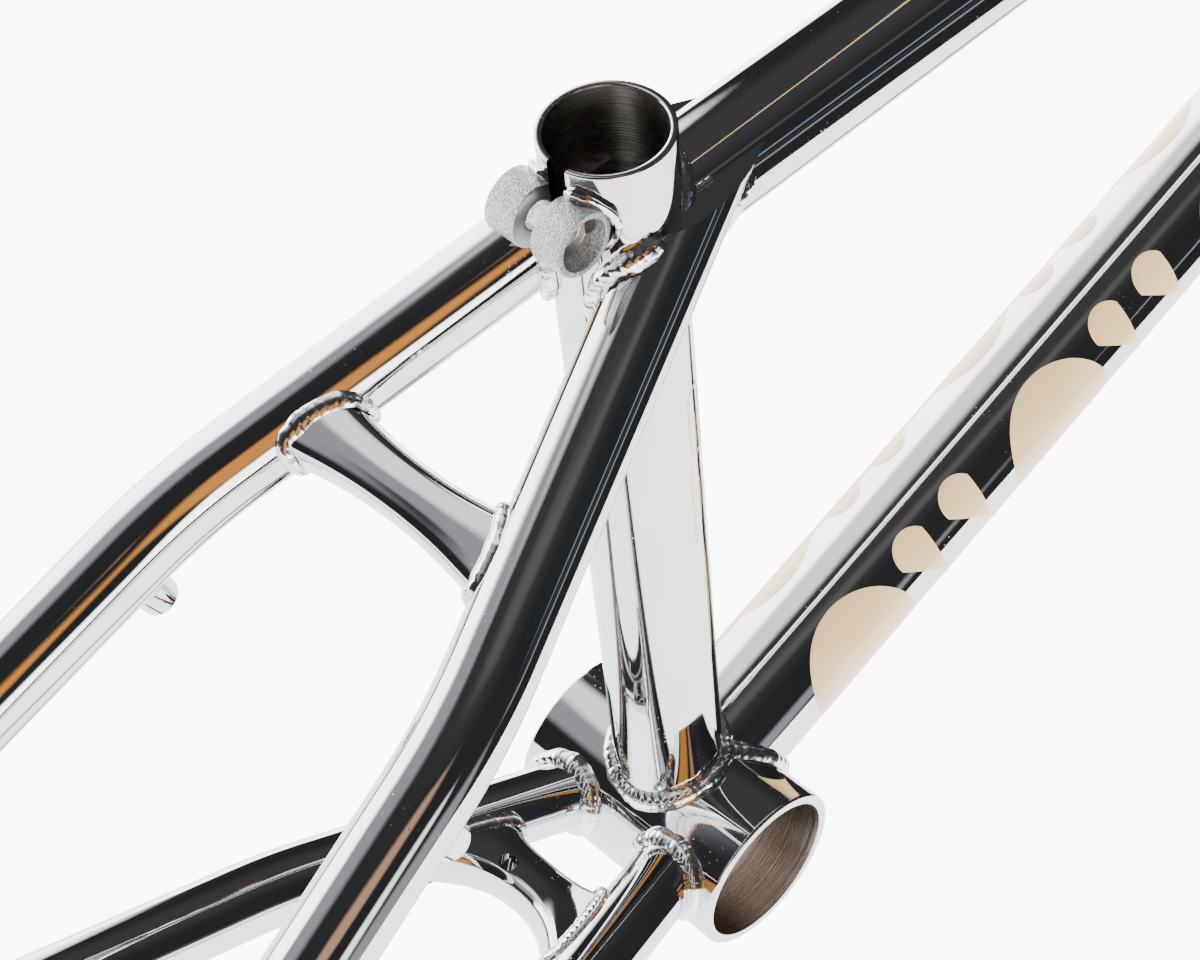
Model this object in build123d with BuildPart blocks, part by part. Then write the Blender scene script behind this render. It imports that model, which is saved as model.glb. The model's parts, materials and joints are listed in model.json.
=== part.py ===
"""Bare welded frame of a 20 inch freestyle BMX bike; every tube, bridge, lug and weld is its own solid.

Row frame: origin at the centre of the bottom bracket shell, +X towards the head tube, +Y to the
rider's left, +Z up. The middle plane of the bike is Y = 0. All sizes are in millimetres.
"""
import os
from math import asin, atan2, cos, degrees, radians, sin, tan

from build123d import *

os.makedirs("parts", exist_ok=True)

# ---------------------------------------------------------------- main triangle
SEAT_ANGLE = 69.5          # seat tube, from the ground
SEAT_LENGTH = 242.4        # bottom bracket centre to the top rim
SEAT_RADIUS = 14.3         # 1 1/8 in tube
SEAT_BORE = 12.7           # reamed for a 25.4 mm seat post
SEAT_REAM_DEPTH = 160.0
SEAT_LOWER_BORE = 13.1     # as drawn, below the reamed length
TOP_BELOW_RIM = 28.2       # the top tube's axis meets the seat tube's this far below the rim
TOP_RISE = 17.6            # the top tube climbs forward by this angle
TOP_LENGTH = 527.0         # 20.75 in, seat tube axis to head tube axis
TOP_RADIUS = 12.7
DOWN_BELOW_TOP = 47.24      # between the two tubes' axes, along the head tube's axis
DOWN_RADIUS = 17.45
DOWN_OFFSET = 3.5          # the down tube's axis passes this far above the bottom bracket centre
MAIN_WALL = 1.2

SHELL_RADIUS = 23.5        # Mid bottom bracket shell
SHELL_BORE = 20.6
SHELL_WIDTH = 68.0
SHELL_BEVEL = 0.9

HEAD_ANGLE = 75.0
HEAD_RADIUS = 22.0
HEAD_ROOM = 5.0            # plain head tube between a joining tube's side and the bearing ring
HEAD_RING_STEP = 3.0          # the bearing rings stand this far out of the head tube
HEAD_RING_HEIGHT = 10.5
HEAD_RING_ROUND = 1.6
HEAD_BORE = 18.5
BEARING_RADIUS = 20.9      # integrated 41.8 mm headset bearing
BEARING_DEPTH = 7.4
BEARING_LEDGE = 2.4        # height of the cone that the bearing rests on

# ---------------------------------------------------------------- rear triangle
STAY_RADIUS = 9.525        # 3/4 in tube, both pairs
STAY_WALL = 1.2
STAY_END_WALL = 3.0        # closes each stay's lower end
STAY_BEND = 150.0          # radius of the axis in each bend
STAY_GAP = 3.0             # between the lower ends of the two stays of a side
STAY_CROSSING = (-301.4, -9.9)     # x, z where the axes of the two stays of a side would cross
TYRE_ROOM = 34.3           # middle plane to the seat stay's inside at its upper bend

SEATSTAY_LAP = 2.5         # the stay's axis lies this far inside the seat tube's side
SEATSTAY_AHEAD = 2.8       # its axis passes this far ahead of the seat tube's, at top tube height
SEATSTAY_PAST = 30.0       # length of the top run ahead of that point, before it is cut
SEATSTAY_TRIM = 4.7        # flat cut on the top end, below the top tube's upper side
SEATSTAY_BENDS = (0.36, 0.82)      # places of the two bends, as shares of the stay

CHAINSTAY_ON_SHELL = 19.4  # end of the shell to the chain stay's axis
CHAINSTAY_DEEP = 8.0       # its axis starts this far behind the shell's axis
CHAINSTAY_WAIST = 40.0     # middle plane to the axis at the front bend
CHAINSTAY_BENDS = (0.37, 0.91)

AXLE_POSITION = (-338.0, -24.0)    # x, z of the wheel axle in the middle of its travel
AXLE_RADIUS = 7.0          # slot for a 14 mm axle
AXLE_TRAVEL = 27.0
HUB_WIDTH = 110.0
DROPOUT_THICKNESS = 6.0
DROPOUT_RIM = 10.0         # plate round the axle slot
DROPOUT_BEVEL = 0.8        # on both faces' outlines
TONGUE_LENGTH = 22.0       # plate let into each stay
TONGUE_WIDTH = 13.0

# Bridges: half length share, width and height of each section, and how far its middle is set back.
BRIDGE_WALL = 1.5
BRIDGE_ROUND = 0.3         # corner radius of a section, as a share of its height
SEATSTAY_BRIDGE_PLACE = 0.25       # along the seat stay, as a share of its length
SEATSTAY_BRIDGE = (
    (0.0, 12.4, 10.5, 0.0),
    (0.42, 14.0, 11.5, 0.0),
    (0.78, 17.5, 12.6, 0.0),
    (1.0, 18.0, 12.8, 0.0),
)
CHAINSTAY_BRIDGE_PLACE = 0.174
CHAINSTAY_BRIDGE = (
    (0.0, 14.0, 11.0, 0.0),
    (0.4, 17.0, 11.5, 0.8),
    (0.74, 27.5, 12.5, 2.0),
    (1.0, 33.0, 12.8, 2.6),
)
VENT_RADIUS = 2.5
VENT_OFF_CENTRE = 6.5
VENT_BEHIND = 3.5          # behind the bridge's own middle line

# ---------------------------------------------------------------- seat clamp and brake bosses
CLAMP_GAP = 5.0
CLAMP_SLOT_DEPTH = 27.0
CLAMP_SLOT_ROUND = 3.1     # drilled hole at the foot of the slot
EAR_RADIUS = 7.25
EAR_LENGTH = 8.0
EAR_BELOW_RIM = 12.0
EAR_BEHIND = 3.5           # ear axis behind the seat tube's outside
CLAMP_BOLT_RADIUS = 3.3    # M6 clearance
CLAMP_HEAD_RADIUS = 5.8
CLAMP_HEAD_DEPTH = 5.0

BOSS_PLACE = 0.424         # along the seat stay, as a share of its length
BOSS_RADIUS = 4.6
BOSS_HEIGHT = 9.0          # stands out of the stay
BOSS_THREAD_RADIUS = 2.5   # tapped M6
BOSS_THREAD_DEPTH = 7.0

WELD = 2.8                 # leg of a weld bead

# ---------------------------------------------------------------- directions and key points
SIDES = {"left": 1, "right": -1}
CENTRE = Vector(0, 0, 0)


def tilted(angle):
    """Unit vector of the middle plane at an angle above +X."""
    return Vector(cos(radians(angle)), 0, sin(radians(angle)))


seat_up = tilted(180 - SEAT_ANGLE)
seat_back = tilted(270 - SEAT_ANGLE)
top_along, top_up = tilted(TOP_RISE), tilted(TOP_RISE + 90)
head_up = tilted(180 - HEAD_ANGLE)

seat_rim = seat_up * SEAT_LENGTH
top_rear = seat_up * (SEAT_LENGTH - TOP_BELOW_RIM)
top_front = top_rear + top_along * TOP_LENGTH

# The down tube's axis runs from the head tube, just above the bottom bracket's centre.
down_front = top_front - head_up * DOWN_BELOW_TOP
down_rise = degrees(atan2(down_front.Z, down_front.X) - asin(DOWN_OFFSET / down_front.length))
down_along, down_up = tilted(down_rise), tilted(down_rise + 90)
down_rear = down_up * DOWN_OFFSET


def edge_reach(along, radius, above):
    """Along the head tube, from the axes' crossing to the tube's upper or lower edge on its surface."""
    angle = radians(along.get_angle(head_up))
    return radius / sin(angle) + (-1 if above else 1) * HEAD_RADIUS / tan(angle)


head_end = HEAD_ROOM + HEAD_RING_HEIGHT
head_rim = top_front + head_up * (edge_reach(top_along, TOP_RADIUS, above=True) + head_end)
head_foot = down_front - head_up * (edge_reach(down_along, DOWN_RADIUS, above=False) + head_end)
shell_end = Vector(0, SHELL_WIDTH / 2, 0)
ear_middle = seat_rim - seat_up * EAR_BELOW_RIM + seat_back * (SEAT_RADIUS + EAR_BEHIND)

# Each stay is straight in side view, and steps outwards at its bends to the middle of the dropout.
plate_middle = (HUB_WIDTH + DROPOUT_THICKNESS) / 2
stay_crossing = Vector(STAY_CROSSING[0], 0, STAY_CROSSING[1])
seatstay_top = top_rear + Vector(SEATSTAY_AHEAD, 0, 0)
chainstay_top = Vector(-CHAINSTAY_DEEP, 0, 0)
seatstay_run = (seatstay_top - stay_crossing).normalized()
chainstay_run = (chainstay_top - stay_crossing).normalized()
half_angle = radians(seatstay_run.get_angle(chainstay_run) / 2)
end_short = (STAY_RADIUS + STAY_GAP / 2) / tan(half_angle)


def side_points(top, share_y, run):
    """Corners of one stay of the left side, from its top to its end short of the crossing."""
    end = stay_crossing + run * end_short
    return [top + (end - top) * share + Vector(0, y, 0) for share, y in share_y]


seatstay_corners = side_points(
    seatstay_top,
    (
        (0, SEAT_RADIUS - SEATSTAY_LAP),
        (SEATSTAY_BENDS[0], TYRE_ROOM + STAY_RADIUS),
        (SEATSTAY_BENDS[1], plate_middle),
        (1, plate_middle),
    ),
    seatstay_run,
)
seatstay_slope = (seatstay_corners[0] - seatstay_corners[1]).normalized()
chainstay_corners = side_points(
    chainstay_top,
    (
        (0, SHELL_WIDTH / 2 - CHAINSTAY_ON_SHELL),
        (CHAINSTAY_BENDS[0], CHAINSTAY_WAIST),
        (CHAINSTAY_BENDS[1], plate_middle),
        (1, plate_middle),
    ),
    chainstay_run,
)


def along_stay(corners, share):
    """Point and direction on a stay's corner line, at a share of its length in side view."""
    x = corners[0].X + (corners[-1].X - corners[0].X) * share
    for near, far in zip(corners, corners[1:]):
        if far.X <= x <= near.X:
            return near + (far - near) * ((near.X - x) / (near.X - far.X)), (far - near).normalized()
    raise ValueError("the share is outside the stay")


# ---------------------------------------------------------------- solid shapes that the pieces are cut by
def rod(start, end, radius):
    """A solid bar between two points."""
    with BuildPart(Plane(origin=start, z_dir=end - start)) as bar:
        Cylinder(radius, (end - start).length, align=(Align.CENTER, Align.CENTER, Align.MIN))
    return bar.part


def bent_rod(corners, side, radius):
    """A solid bar along a stay's bent axis, on the left side or mirrored to the right."""
    points = [Vector(corner.X, SIDES[side] * corner.Y, corner.Z) for corner in corners]
    with BuildPart() as bar:
        with BuildLine() as axis:
            FilletPolyline(*points, radius=STAY_BEND)
        with BuildSketch(Plane(origin=points[0], z_dir=points[1] - points[0])):
            Circle(radius)
        sweep(path=axis.line)
    return bar.part


def stay_bore(corners, side):
    """The hollow of a stay, which stops short of its closed lower end."""
    last = corners[-1] + (corners[-2] - corners[-1]).normalized() * STAY_END_WALL
    return bent_rod(corners[:-1] + [last], side, STAY_RADIUS - STAY_WALL)


def bridge_bar(corners, place, table, grow):
    """A waisted bar from stay to stay, its sections wider by grow all round."""
    middle, _ = along_stay(corners, place)
    stay = corners[-1] - corners[0]
    back = Vector(stay.X, 0, stay.Z).normalized()
    sections = [(-share, *size) for share, *size in reversed(table[1:])] + list(table)
    with BuildPart() as bar:
        for share, width, height, set_back in sections:
            across = Vector(middle.X, middle.Y * share, middle.Z)
            origin = across + back * set_back
            with BuildSketch(Plane(origin=origin, x_dir=back, z_dir=(0, 1, 0))):
                RectangleRounded(width + 2 * grow, height + 2 * grow, height * BRIDGE_ROUND)
        loft()
    return bar.part


def dropout_blank(side, grow):
    """The dropout's plate, larger by grow all round, without its axle slot."""
    inner = HUB_WIDTH / 2 if side == "right" else -HUB_WIDTH / 2 - DROPOUT_THICKNESS
    axle, crossed, travel = Vector(*AXLE_POSITION), Vector(*STAY_CROSSING), Vector(AXLE_TRAVEL / 2, 0)
    with BuildPart() as plate:
        with BuildSketch(Plane.XZ.offset(inner - grow)):
            with BuildSketch(mode=Mode.PRIVATE) as blank:
                with Locations(axle + travel, axle - travel):
                    Circle(AXLE_RADIUS + DROPOUT_RIM + grow)
                with Locations(crossed):
                    Circle(TONGUE_WIDTH / 2 + grow)
            make_hull(blank.edges())
            for run in (seatstay_run, chainstay_run):
                tip = crossed + Vector(run.X, run.Z) * (end_short + TONGUE_LENGTH - TONGUE_WIDTH / 2)
                SlotCenterPoint((crossed + tip) / 2, tip, TONGUE_WIDTH + 2 * grow)
        extrude(amount=DROPOUT_THICKNESS + 2 * grow)
    return plate.part


def top_cut(lift):
    """The space above the flat cut on the seat stays' top ends."""
    height = TOP_RADIUS - SEATSTAY_TRIM + lift
    with BuildPart(Plane(origin=top_rear + top_up * height, z_dir=top_up)) as cut:
        Box(160, 160, 90, align=(Align.CENTER, Align.CENTER, Align.MIN))
    return cut.part


def far_half(side):
    """The space on the other side of the middle plane, which a seat stay's top end doesn't cross."""
    with BuildPart() as half:
        with Locations((0, -SIDES[side] * 50, 0)):
            Box(1200, 100, 900)
    return half.part


def seatstay_bar(side, grow):
    """A seat stay's full bar, cut flat on top and along the middle plane."""
    with BuildPart() as bar:
        add(bent_rod(seatstay_axis, side, STAY_RADIUS + grow))
        add(top_cut(grow), mode=Mode.SUBTRACT)
        add(far_half(side), mode=Mode.SUBTRACT)
    return bar.part


def boss_ends(side):
    """The brake boss's axis: from the seat stay's axis to its face, forward and down."""
    middle, along = along_stay(seatstay_corners, BOSS_PLACE)
    foot = Vector(middle.X, SIDES[side] * middle.Y, middle.Z)
    out = Vector(-along.Z, 0, along.X).normalized()
    return foot, foot + out * (STAY_RADIUS + BOSS_HEIGHT)


def ear_bar(side, grow):
    """The clamp ear's barrel, larger by grow on its round side and its outer end."""
    sign = Vector(0, SIDES[side], 0)
    inner = ear_middle + sign * (CLAMP_GAP / 2)
    return rod(inner, inner + sign * (EAR_LENGTH + grow), EAR_RADIUS + grow)


def save(part, name):
    """Label one solid and write its file."""
    part.label = name
    export_step(part, f"parts/{name}.step")


seatstay_axis = [seatstay_corners[0] + seatstay_slope * SEATSTAY_PAST] + seatstay_corners[1:]
BRIDGES = {
    "seatstay": (seatstay_corners, SEATSTAY_BRIDGE_PLACE, SEATSTAY_BRIDGE),
    "chainstay": (chainstay_corners, CHAINSTAY_BRIDGE_PLACE, CHAINSTAY_BRIDGE),
}

# Full bars without a bore, and the same bars larger by a weld's leg.
bars, grown = {}, {}
for shape, extra in ((bars, 0), (grown, WELD)):
    shape["bb_shell"] = rod(-shell_end, shell_end, SHELL_RADIUS + extra)
    shape["seat_tube"] = rod(CENTRE, seat_rim, SEAT_RADIUS + extra)
    shape["head_tube"] = rod(head_foot, head_rim, HEAD_RADIUS + extra)
    shorter = top_along * (1.5 * extra)
    shape["top_tube"] = rod(top_rear + shorter, top_front - shorter, TOP_RADIUS + extra)
    shorter = down_along * (1.5 * extra)
    shape["down_tube"] = rod(down_rear + shorter, down_front - shorter, DOWN_RADIUS + extra)
    for kind, bridge in BRIDGES.items():
        shape[f"{kind}_bridge"] = bridge_bar(*bridge, extra)
    for side in SIDES:
        shape[f"seatstay_{side}"] = seatstay_bar(side, extra)
        shape[f"chainstay_{side}"] = bent_rod(chainstay_corners, side, STAY_RADIUS + extra)
        shape[f"dropout_{side}"] = dropout_blank(side, extra)
        shape[f"clamp_ear_{side}"] = ear_bar(side, extra)
        shape[f"brake_boss_{side}"] = rod(*boss_ends(side), BOSS_RADIUS + extra)

# ---------------------------------------------------------------- tubes
with BuildPart() as bb_shell:
    add(bars["bb_shell"])
    with Locations(Rotation(90, 0, 0)):
        Cylinder(SHELL_BORE, SHELL_WIDTH, mode=Mode.SUBTRACT)
    chamfer(bb_shell.edges().filter_by(GeomType.CIRCLE), length=SHELL_BEVEL)
save(bb_shell.part, "bb_shell")

with BuildPart() as seat_tube:
    add(bars["seat_tube"])
    add(rod(CENTRE, seat_rim, SEAT_BORE), mode=Mode.SUBTRACT)
    add(rod(CENTRE, seat_rim - seat_up * SEAT_REAM_DEPTH, SEAT_LOWER_BORE), mode=Mode.SUBTRACT)
    add(bars["bb_shell"], mode=Mode.SUBTRACT)
    with BuildSketch(Plane(origin=seat_rim, x_dir=(0, 1, 0), z_dir=seat_back)):
        foot_of_slot = CLAMP_SLOT_DEPTH - CLAMP_SLOT_ROUND
        with Locations((0, foot_of_slot), (0, -foot_of_slot)):
            Circle(CLAMP_SLOT_ROUND)
        Rectangle(CLAMP_GAP, 2 * foot_of_slot)
    extrude(amount=SEAT_RADIUS * 2, mode=Mode.SUBTRACT)
save(seat_tube.part, "seat_tube")

with BuildPart() as top_tube:
    add(bars["top_tube"])
    add(rod(top_rear, top_front, TOP_RADIUS - MAIN_WALL), mode=Mode.SUBTRACT)
    for neighbour in ("seat_tube", "head_tube"):
        add(bars[neighbour], mode=Mode.SUBTRACT)
save(top_tube.part, "top_tube")

with BuildPart() as down_tube:
    add(bars["down_tube"])
    add(rod(down_rear, down_front, DOWN_RADIUS - MAIN_WALL), mode=Mode.SUBTRACT)
    for neighbour in ("bb_shell", "seat_tube", "head_tube"):
        add(bars[neighbour], mode=Mode.SUBTRACT)
save(down_tube.part, "down_tube")

with BuildPart(Plane(origin=head_foot, z_dir=head_up)) as head_tube:
    standing = (Align.CENTER, Align.CENTER, Align.MIN)
    head_length = (head_rim - head_foot).length
    Cylinder(HEAD_RADIUS, head_length, align=standing)
    with Locations((0, 0, 0), (0, 0, head_length - HEAD_RING_HEIGHT)):
        Cylinder(HEAD_RADIUS + HEAD_RING_STEP, HEAD_RING_HEIGHT, align=standing)
    fillet(head_tube.edges().filter_by(GeomType.CIRCLE).group_by(SortBy.RADIUS)[-1], HEAD_RING_ROUND)
    Cylinder(HEAD_BORE, head_length, align=standing, mode=Mode.SUBTRACT)
    with Locations((0, 0, 0), Location((0, 0, head_length), (180, 0, 0))):
        Cylinder(BEARING_RADIUS, BEARING_DEPTH, align=standing, mode=Mode.SUBTRACT)
    with Locations((0, 0, BEARING_DEPTH), Location((0, 0, head_length - BEARING_DEPTH), (180, 0, 0))):
        Cone(BEARING_RADIUS, HEAD_BORE, BEARING_LEDGE, align=standing, mode=Mode.SUBTRACT)
save(head_tube.part, "head_tube")

# ---------------------------------------------------------------- stays, dropouts and bridges
for side in SIDES:
    with BuildPart() as seatstay:
        add(bars[f"seatstay_{side}"])
        add(stay_bore(seatstay_axis, side), mode=Mode.SUBTRACT)
        for neighbour in ("seat_tube", "top_tube", f"dropout_{side}"):
            add(bars[neighbour], mode=Mode.SUBTRACT)
    save(seatstay.part.solids().sort_by(SortBy.VOLUME)[-1], f"seatstay_{side}")

    with BuildPart() as chainstay:
        add(bars[f"chainstay_{side}"])
        add(stay_bore(chainstay_corners, side), mode=Mode.SUBTRACT)
        for neighbour in ("bb_shell", f"dropout_{side}"):
            add(bars[neighbour], mode=Mode.SUBTRACT)
    save(chainstay.part.solids().sort_by(SortBy.VOLUME)[-1], f"chainstay_{side}")

    with BuildPart() as dropout:
        add(bars[f"dropout_{side}"])
        with BuildSketch(Plane.XZ.offset(-HUB_WIDTH)):
            mouth = Vector(*AXLE_POSITION) - Vector(HUB_WIDTH, 0)
            SlotCenterPoint(mouth, Vector(*AXLE_POSITION) + Vector(AXLE_TRAVEL / 2, 0), 2 * AXLE_RADIUS)
        extrude(amount=2 * HUB_WIDTH, mode=Mode.SUBTRACT)
        chamfer(dropout.faces().filter_by(Axis.Y).edges(), DROPOUT_BEVEL)
    save(dropout.part, f"dropout_{side}")

for kind, bridge in BRIDGES.items():
    with BuildPart() as cross_piece:
        add(bars[f"{kind}_bridge"])
        add(bridge_bar(*bridge, -BRIDGE_WALL), mode=Mode.SUBTRACT)
        for side in SIDES:
            add(bars[f"{kind}_{side}"], mode=Mode.SUBTRACT)
        if kind == "chainstay":
            centre, _ = along_stay(chainstay_corners, CHAINSTAY_BRIDGE_PLACE)
            with Locations((centre.X - VENT_BEHIND, VENT_OFF_CENTRE, centre.Z)):
                Cylinder(VENT_RADIUS, STAY_RADIUS, align=(Align.CENTER, Align.CENTER, Align.MIN), mode=Mode.SUBTRACT)
    save(cross_piece.part.solids().sort_by(SortBy.VOLUME)[-1], f"{kind}_bridge")

# ---------------------------------------------------------------- clamp ears and brake bosses
for side, sign in SIDES.items():
    outer_face = ear_middle + Vector(0, sign * (CLAMP_GAP / 2 + EAR_LENGTH), 0)
    with BuildPart() as clamp_ear:
        add(bars[f"clamp_ear_{side}"])
        with Locations(Plane(origin=outer_face, z_dir=(0, sign, 0))):
            CounterBoreHole(CLAMP_BOLT_RADIUS, CLAMP_HEAD_RADIUS, CLAMP_HEAD_DEPTH, EAR_LENGTH)
        add(bars["seat_tube"], mode=Mode.SUBTRACT)
    save(clamp_ear.part, f"clamp_ear_{side}")

    with BuildPart() as brake_boss:
        add(bars[f"brake_boss_{side}"])
        add(bars[f"seatstay_{side}"], mode=Mode.SUBTRACT)
        foot, face = boss_ends(side)
        with Locations(Plane(origin=face, z_dir=face - foot)):
            Hole(BOSS_THREAD_RADIUS, BOSS_THREAD_DEPTH)
    save(brake_boss.part, f"brake_boss_{side}")

# ---------------------------------------------------------------- welds
# A bead fills the corner between two neighbours: it is near both of them and inside neither.
# The third entry names what else the bead stays out of.
welds = {
    "weld_top_seat": ("top_tube", "seat_tube", ("seatstay_left", "seatstay_right")),
    "weld_top_head": ("top_tube", "head_tube", ()),
    "weld_down_head": ("down_tube", "head_tube", ("top_tube", "weld_top_head")),
    "weld_down_seat": ("down_tube", "seat_tube", ("bb_shell",)),
    "weld_down_shell": ("down_tube", "bb_shell", ("seat_tube", "weld_down_seat")),
    "weld_seat_shell": (
        "seat_tube",
        "bb_shell",
        ("down_tube", "weld_down_seat", "weld_down_shell", "chainstay_left", "chainstay_right"),
    ),
}
for side in SIDES:
    seatstay, chainstay, ear = f"seatstay_{side}", f"chainstay_{side}", f"clamp_ear_{side}"
    welds[f"weld_chainstay_shell_{side}"] = (chainstay, "bb_shell", ("seat_tube", "weld_seat_shell"))
    welds[f"weld_seatstay_seat_{side}"] = (seatstay, "seat_tube", ("top_tube", "weld_top_seat"))
    welds[f"weld_seatstay_top_{side}"] = (
        seatstay, "top_tube", ("seat_tube", "weld_top_seat", f"weld_seatstay_seat_{side}")
    )
    welds[f"weld_seatstay_bridge_{side}"] = ("seatstay_bridge", seatstay, ())
    welds[f"weld_chainstay_bridge_{side}"] = (
        "chainstay_bridge", chainstay, ("bb_shell", f"weld_chainstay_shell_{side}")
    )
    welds[f"weld_dropout_seatstay_{side}"] = (f"dropout_{side}", seatstay, (chainstay,))
    welds[f"weld_dropout_chainstay_{side}"] = (
        f"dropout_{side}", chainstay, (seatstay, f"weld_dropout_seatstay_{side}")
    )
    welds[f"weld_clamp_ear_{side}"] = (ear, "seat_tube", (seatstay,))
    welds[f"weld_brake_boss_{side}"] = (f"brake_boss_{side}", seatstay, ())

for name, (piece, neighbour, others) in welds.items():
    with BuildPart() as weld:
        add(grown[piece])
        add(grown[neighbour], mode=Mode.INTERSECT)
        for kept_clear in (piece, neighbour, *others):
            add(bars[kept_clear], mode=Mode.SUBTRACT)
    bars[name] = weld.part
    save(weld.part.solids().sort_by(SortBy.VOLUME)[-1], name)
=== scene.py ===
"""Looks of the bare chromed BMX frame: mirror plate, rippled weld beads, machined bores, satin clamp ears.

Lengths are written in millimetres, as in the part, and meshes are made in metres in the part's own frame:
origin at the centre of the bottom bracket shell, +X forward, +Y to the rider's left, +Z up.
"""

import json
from math import pi

import bpy
import numpy as np
from mathutils import Matrix, Vector


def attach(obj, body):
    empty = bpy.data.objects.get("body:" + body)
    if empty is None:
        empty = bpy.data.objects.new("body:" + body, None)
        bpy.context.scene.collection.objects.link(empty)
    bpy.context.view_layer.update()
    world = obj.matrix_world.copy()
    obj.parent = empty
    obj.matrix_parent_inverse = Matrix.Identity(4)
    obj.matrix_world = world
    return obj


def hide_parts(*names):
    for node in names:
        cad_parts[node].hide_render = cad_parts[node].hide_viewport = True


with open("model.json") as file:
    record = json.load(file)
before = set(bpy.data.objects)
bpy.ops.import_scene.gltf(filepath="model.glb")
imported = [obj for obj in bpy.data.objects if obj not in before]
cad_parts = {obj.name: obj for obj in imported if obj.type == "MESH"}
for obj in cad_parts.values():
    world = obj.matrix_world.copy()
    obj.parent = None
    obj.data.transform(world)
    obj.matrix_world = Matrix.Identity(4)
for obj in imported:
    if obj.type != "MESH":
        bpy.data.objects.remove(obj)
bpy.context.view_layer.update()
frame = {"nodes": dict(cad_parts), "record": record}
record = frame["record"]
MOUNTS = {mount["name"]: mount for mount in record["mounts"]}
MM = 0.001
BODY = "root"

# -------------------- the camera, before anything else
CAMERA_PLACE = (-0.43647, -0.27826, 0.45949)
CAMERA_LENS = 76.66
CAMERA_RIGHT = (0.68080, -0.71182, 0.17270)
CAMERA_UP = (0.32502, 0.50488, 0.79966)
CAMERA_BACK = (-0.65641, -0.48828, 0.57508)
camera_data = bpy.data.cameras.new("camera")
camera_data.sensor_width = 36.0
camera_data.lens = CAMERA_LENS
camera_data.clip_start = 0.01
camera = bpy.data.objects.new("camera", camera_data)
bpy.context.scene.collection.objects.link(camera)
columns = np.array([CAMERA_RIGHT, CAMERA_UP, CAMERA_BACK]).T
camera.matrix_world = Matrix.Translation(CAMERA_PLACE) @ Matrix(columns.tolist()).to_4x4()
bpy.context.scene.camera = camera

# -------------------- driving dimensions of the frame
SEAT_ANGLE, SEAT_LENGTH = 69.5, 242.4
SEAT_RADIUS, SEAT_BORE = 14.3, 12.7
TOP_BELOW_RIM, TOP_RISE, TOP_LENGTH, TOP_RADIUS = 28.2, 17.6, 527.0, 12.7
DOWN_BELOW_TOP, DOWN_RADIUS, DOWN_OFFSET, DOWN_SPARE = 47.24, 17.45, 3.5, 60.0
SHELL_RADIUS, SHELL_BORE, SHELL_WIDTH = 23.5, 20.6, 68.0
HEAD_ANGLE, HEAD_RADIUS = 75.0, 22.0
HEAD_RING_RADIUS, HEAD_RING_HEIGHT, HEAD_BORE = 25.0, 10.5, 18.5
BEARING_RADIUS, BEARING_DEPTH, BEARING_LEDGE = 20.9, 7.4, 2.4
STAY_RADIUS, STAY_BEND, STAY_GAP = 9.525, 150.0, 3.0
STAY_CROSSING = np.array([-301.4, 0.0, -9.9])
TYRE_ROOM = 34.3
SEATSTAY_LAP, SEATSTAY_AHEAD, SEATSTAY_TRIM = 2.5, 2.8, 4.7
SEATSTAY_BENDS, CHAINSTAY_BENDS = (0.36, 0.82), (0.37, 0.91)
CHAINSTAY_ON_SHELL, CHAINSTAY_DEEP, CHAINSTAY_WAIST = 19.4, 8.0, 40.0
HUB_WIDTH, DROPOUT_THICKNESS, TONGUE_WIDTH = 110.0, 6.0, 13.0
CLAMP_GAP, CLAMP_SLOT_DEPTH, CLAMP_SLOT_ROUND = 5.0, 27.0, 3.1
EAR_RADIUS, EAR_LENGTH = 7.25, 8.0
CLAMP_BOLT_RADIUS, CLAMP_HEAD_RADIUS, CLAMP_HEAD_DEPTH = 3.3, 5.8, 5.0
BOSS_PLACE, BOSS_RADIUS, BOSS_HEIGHT, BOSS_THREAD_RADIUS, BOSS_THREAD_DEPTH = 0.424, 4.6, 9.0, 2.5, 7.0
SEATSTAY_BRIDGE_PLACE, CHAINSTAY_BRIDGE_PLACE = 0.25, 0.174
VENT_RADIUS, VENT_OFF_CENTRE, VENT_BEHIND, VENT_SPAN = 2.5, 6.5, 3.5, (2.5, 12.0)
SIDES = {"left": 1.0, "right": -1.0}
FULL_TURN = 2 * pi
FLOOR, FLOOR_RADIUS = -420.0, 2100.0


def unit(vector):
    """The same directions, one long."""
    vector = np.asarray(vector, float)
    return vector / np.linalg.norm(vector, axis=-1, keepdims=True)


def tilted(angle):
    """Unit vector of the middle plane at an angle in degrees above +X."""
    return np.array([np.cos(np.radians(angle)), 0.0, np.sin(np.radians(angle))])


def mirrored(points, side):
    """Points of the left side, or their mirror on the right."""
    return np.asarray(points, float) * (1.0, SIDES[side], 1.0)


SEAT_UP, SEAT_BACK = tilted(180 - SEAT_ANGLE), tilted(270 - SEAT_ANGLE)
TOP_ALONG, TOP_UP = tilted(TOP_RISE), tilted(TOP_RISE + 90)
HEAD_UP = tilted(180 - HEAD_ANGLE)
ACROSS, UPRIGHT = np.array([0.0, 1.0, 0.0]), np.array([0.0, 0.0, 1.0])
ORIGIN = np.zeros(3)
top_rear = SEAT_UP * (SEAT_LENGTH - TOP_BELOW_RIM)
top_front = top_rear + TOP_ALONG * TOP_LENGTH
down_front = top_front - HEAD_UP * DOWN_BELOW_TOP
down_rise = np.degrees(np.arctan2(down_front[2], down_front[0])
                       - np.arcsin(DOWN_OFFSET / np.linalg.norm(down_front)))
DOWN_ALONG, DOWN_UP = tilted(down_rise), tilted(down_rise + 90)
down_rear = DOWN_UP * DOWN_OFFSET
head_rim = np.array(MOUNTS["head_bearing_upper"]["pos_m"]) / MM + HEAD_UP * BEARING_DEPTH / 2
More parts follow.
